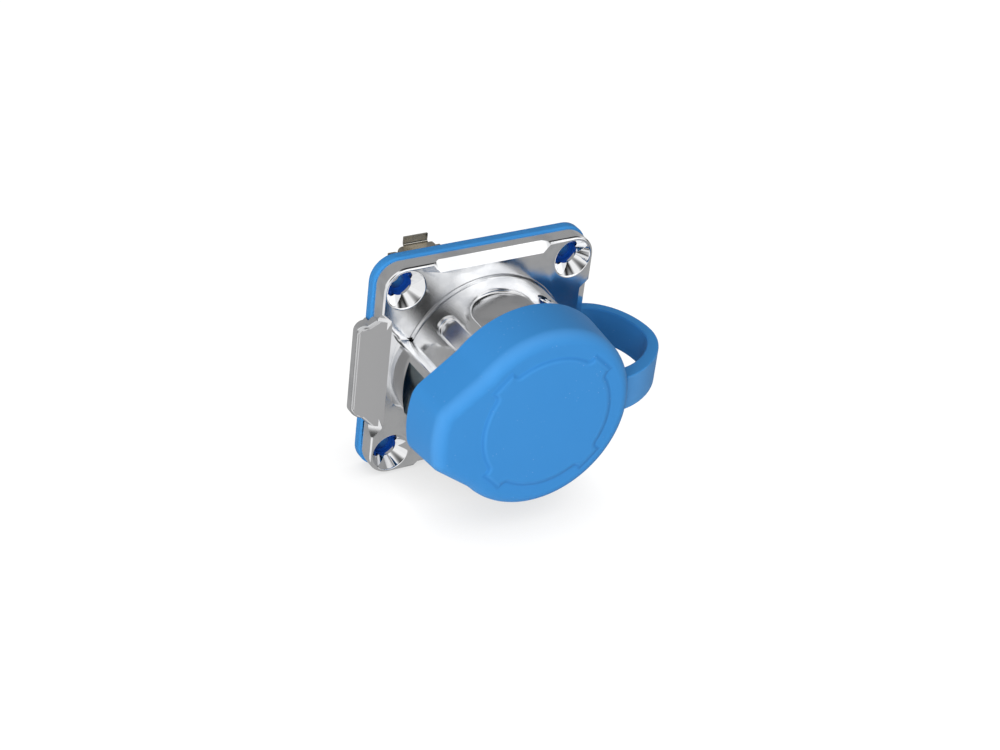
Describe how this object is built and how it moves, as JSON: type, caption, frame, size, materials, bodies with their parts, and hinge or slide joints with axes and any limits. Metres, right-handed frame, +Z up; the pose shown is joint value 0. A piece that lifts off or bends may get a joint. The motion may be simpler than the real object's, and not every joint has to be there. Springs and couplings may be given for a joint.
{
  "type": "usb feedthrough coupler",
  "caption": "Square-flange panel coupler joining two type A serial bus receptacles back to back, with a gasket, a latch guard and a strapped elastomer dust cap.",
  "frame": {"origin": "middle of the four screw holes, on the panel plane, which is the gasket's rear face", "axes": "-Y points out of the front, along the plug's way in; +Y goes through the panel; +Z is up; +X is right as seen from the front, so the latch side is at -X"},
  "size_m": [0.041, 0.0375, 0.032],
  "materials": {
    "polished_casting": "polished nickel-chrome plate on a zinc die casting",
    "blue_elastomer": "smooth satin silicone rubber",
    "black_elastomer": "smooth moulded",
    "dark_plastic": "fine moulded grain",
    "white_plastic": "smooth moulded",
    "nickel_sheet": "bright nickel plate, warm tone",
    "gold_contact": "gold plate",
    "plated_ring": "nickel-plated brass",
    "board_laminate": "solder-masked laminate"
  },
  "bodies": {
    "coupler": {"flange_housing": "polished_casting", "panel_gasket": "blue_elastomer", "cap_strap": "blue_elastomer", "front_carrier": "dark_plastic", "rear_carrier": "dark_plastic", "retaining_ring": "plated_ring", "insert_seal": "black_elastomer", "link_board": "board_laminate", "front_port_shell": "nickel_sheet", "front_port_tongue": "white_plastic", "front_contact_1": "gold_contact", "front_contact_2": "gold_contact", "front_contact_3": "gold_contact", "front_contact_4": "gold_contact", "rear_port_shell": "nickel_sheet", "rear_port_tongue": "white_plastic", "rear_contact_1": "gold_contact", "rear_contact_2": "gold_contact", "rear_contact_3": "gold_contact", "rear_contact_4": "gold_contact"},
    "cap": {"dust_cap": "blue_elastomer"}
  },
  "joints": [
    {"name": "dust_cap_pull", "type": "slide", "parent": "coupler", "child": "cap", "axis": [0, -1, 0], "range_m": [0, 0.008], "deforming": ["cap_strap"]}
  ]
}
